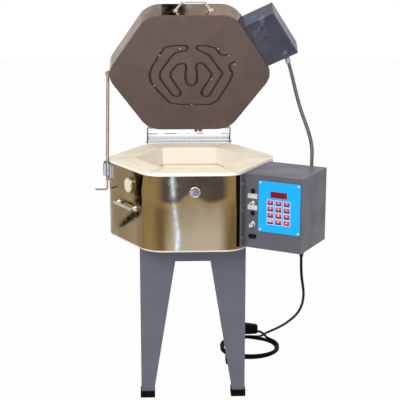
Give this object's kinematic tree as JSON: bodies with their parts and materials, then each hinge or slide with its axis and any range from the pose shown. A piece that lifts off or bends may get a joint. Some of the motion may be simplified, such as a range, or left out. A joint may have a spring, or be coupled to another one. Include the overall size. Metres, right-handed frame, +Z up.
{
  "type": "glass fusing kiln",
  "caption": "Hexagonal top-loading glass fusing kiln on a sheet stand, with a propped hinged lid, a control box, a conduit and a coiled power cord.",
  "frame": {"origin": "on the floor, under the middle of the kiln's footprint without its loose cord", "axes": "+Z up, the flat front face looks along -Y, the control box is on the +X side"},
  "size_m": [0.6968, 0.6525, 1.2064],
  "materials": {
    "stand_grey": "satin grey enamel",
    "rubber_black": "matt",
    "zinc_steel": "zinc plated",
    "firebrick": "soft matt, slightly rough",
    "element_alloy": "oxidised",
    "probe_ceramic": "matt",
    "stainless": "mirror polished",
    "plug_metal": "polished caps on fired stems",
    "box_grey": "satin grey enamel",
    "control_blue": "printed membrane",
    "display_red": "tinted window",
    "key_red": "printed",
    "board_green": "solder mask",
    "power_dark": "matt",
    "lamp_dark": "lens",
    "label_pale": "satin",
    "switch_black": "matt",
    "chrome_trim": "bright",
    "cord_black": "satin",
    "conduit_metal": "ribbed",
    "lid_box_grey": "satin grey enamel"
  },
  "bodies": {
    "base": {"stand_ends": "stand_grey", "stand_sides": "stand_grey", "feet": "rubber_black", "stand_screws": "zinc_steel", "base_plate": "zinc_steel", "floor_slab": "firebrick", "wall_bricks": "firebrick", "wall_element": "element_alloy", "thermocouple": "probe_ceramic", "body_jacket": "stainless", "carry_handles": "chrome_trim", "body_hinge": "stainless", "hinge_pin": "zinc_steel", "stay_bracket": "zinc_steel", "control_box_back": "box_grey", "control_box_shell": "box_grey", "control_panel": "box_grey", "controller_plate": "control_blue", "display_window": "display_red", "controller_board": "board_green", "power_parts": "power_dark", "indicator_lamps": "lamp_dark", "label_plates": "label_pale", "switch_bodies": "switch_black", "box_screws": "zinc_steel", "cord_gland": "switch_black", "power_cord": "cord_black", "cord_coil": "cord_black", "plug": "cord_black", "conduit_fitting": "zinc_steel", "lid_conduit": "conduit_metal"},
    "lid": {"lid_slab": "firebrick", "lid_element": "element_alloy", "lid_jacket": "stainless", "lid_hinge": "stainless", "lid_stay_bracket": "zinc_steel", "lid_handle": "chrome_trim", "lid_box": "lid_box_grey", "lid_box_cover": "lid_box_grey", "lid_terminals": "probe_ceramic", "lid_conduit_fitting": "zinc_steel"},
    "stay_rod": {"stay_rod": "zinc_steel"},
    "stay_guide": {"stay_guide": "zinc_steel"},
    "front_plug": {"front_peephole_plug": "plug_metal"},
    "side_plug": {"side_peephole_plug": "plug_metal"},
    "toggle": {"toggle_lever": "chrome_trim"},
    "selector": {"selector_knob": "chrome_trim"},
    "rocker": {"rocker_button": "switch_black"},
    "key_1_button": {"key_1": "key_red"},
    "key_2_button": {"key_2": "key_red"},
    "key_3_button": {"key_3": "key_red"},
    "key_4_button": {"key_4": "key_red"},
    "key_5_button": {"key_5": "key_red"},
    "key_6_button": {"key_6": "key_red"},
    "key_7_button": {"key_7": "key_red"},
    "key_8_button": {"key_8": "key_red"},
    "key_9_button": {"key_9": "key_red"},
    "key_stop_button": {"key_stop": "key_red"},
    "key_0_button": {"key_0": "key_red"},
    "key_start_button": {"key_start": "key_red"}
  },
  "joints": [
    {"name": "lid_hinge", "type": "hinge", "parent": "base", "child": "lid", "pos_m": [-0.0522, 0.2722, 0.726], "axis": [1, 0, 0], "range_deg": [-6, 58.3], "deforming": ["lid_conduit"]},
    {"name": "stay_pivot", "type": "hinge", "parent": "lid", "child": "stay_rod", "pos_m": [-0.31136, 0.1607, 0.96743], "axis": [1, 0, 0], "range_deg": [-29.2, 3.05]},
    {"name": "stay_guide_swivel", "type": "hinge", "parent": "base", "child": "stay_guide", "pos_m": [-0.31136, 0.0082, 0.694], "axis": [1, 0, 0], "range_deg": [-3.05, 29.2]},
    {"name": "front_plug_pull", "type": "slide", "parent": "base", "child": "front_plug", "axis": [0, -1, 0], "range_m": [0, 0.085]},
    {"name": "side_plug_pull", "type": "slide", "parent": "base", "child": "side_plug", "axis": [-0.866, -0.5, 0], "range_m": [0, 0.09]},
    {"name": "toggle_throw", "type": "hinge", "parent": "base", "child": "toggle", "pos_m": [0.11812, -0.22999, 0.637], "axis": [0.866, -0.5, 0], "range_deg": [0, 24]},
    {"name": "selector_turn", "type": "hinge", "parent": "base", "child": "selector", "pos_m": [0.11712, -0.23173, 0.573], "axis": [-0.5, -0.866, 0], "range_deg": [0, 270]},
    {"name": "rocker_tilt", "type": "hinge", "parent": "base", "child": "rocker", "pos_m": [0.12162, -0.22393, 0.536], "axis": [0, 0, -1], "range_deg": [0, 12]},
    {"name": "key_1_press", "type": "slide", "parent": "base", "child": "key_1_button", "axis": [0.5, 0.866, 0], "range_m": [0, 0.0005], "stiffness_N_per_m": 2000},
    {"name": "key_2_press", "type": "slide", "parent": "base", "child": "key_2_button", "axis": [0.5, 0.866, 0], "range_m": [0, 0.0005], "stiffness_N_per_m": 2000},
    {"name": "key_3_press", "type": "slide", "parent": "base", "child": "key_3_button", "axis": [0.5, 0.866, 0], "range_m": [0, 0.0005], "stiffness_N_per_m": 2000},
    {"name": "key_4_press", "type": "slide", "parent": "base", "child": "key_4_button", "axis": [0.5, 0.866, 0], "range_m": [0, 0.0005], "stiffness_N_per_m": 2000},
    {"name": "key_5_press", "type": "slide", "parent": "base", "child": "key_5_button", "axis": [0.5, 0.866, 0], "range_m": [0, 0.0005], "stiffness_N_per_m": 2000},
    {"name": "key_6_press", "type": "slide", "parent": "base", "child": "key_6_button", "axis": [0.5, 0.866, 0], "range_m": [0, 0.0005], "stiffness_N_per_m": 2000},
    {"name": "key_7_press", "type": "slide", "parent": "base", "child": "key_7_button", "axis": [0.5, 0.866, 0], "range_m": [0, 0.0005], "stiffness_N_per_m": 2000},
    {"name": "key_8_press", "type": "slide", "parent": "base", "child": "key_8_button", "axis": [0.5, 0.866, 0], "range_m": [0, 0.0005], "stiffness_N_per_m": 2000},
    {"name": "key_9_press", "type": "slide", "parent": "base", "child": "key_9_button", "axis": [0.5, 0.866, 0], "range_m": [0, 0.0005], "stiffness_N_per_m": 2000},
    {"name": "key_stop_press", "type": "slide", "parent": "base", "child": "key_stop_button", "axis": [0.5, 0.866, 0], "range_m": [0, 0.0005], "stiffness_N_per_m": 2000},
    {"name": "key_0_press", "type": "slide", "parent": "base", "child": "key_0_button", "axis": [0.5, 0.866, 0], "range_m": [0, 0.0005], "stiffness_N_per_m": 2000},
    {"name": "key_start_press", "type": "slide", "parent": "base", "child": "key_start_button", "axis": [0.5, 0.866, 0], "range_m": [0, 0.0005], "stiffness_N_per_m": 2000}
  ],
  "couplings": [
    {"joint": "stay_pivot", "follows": "lid_hinge", "ratio": -0.5},
    {"joint": "stay_guide_swivel", "follows": "lid_hinge", "ratio": 0.5}
  ]
}
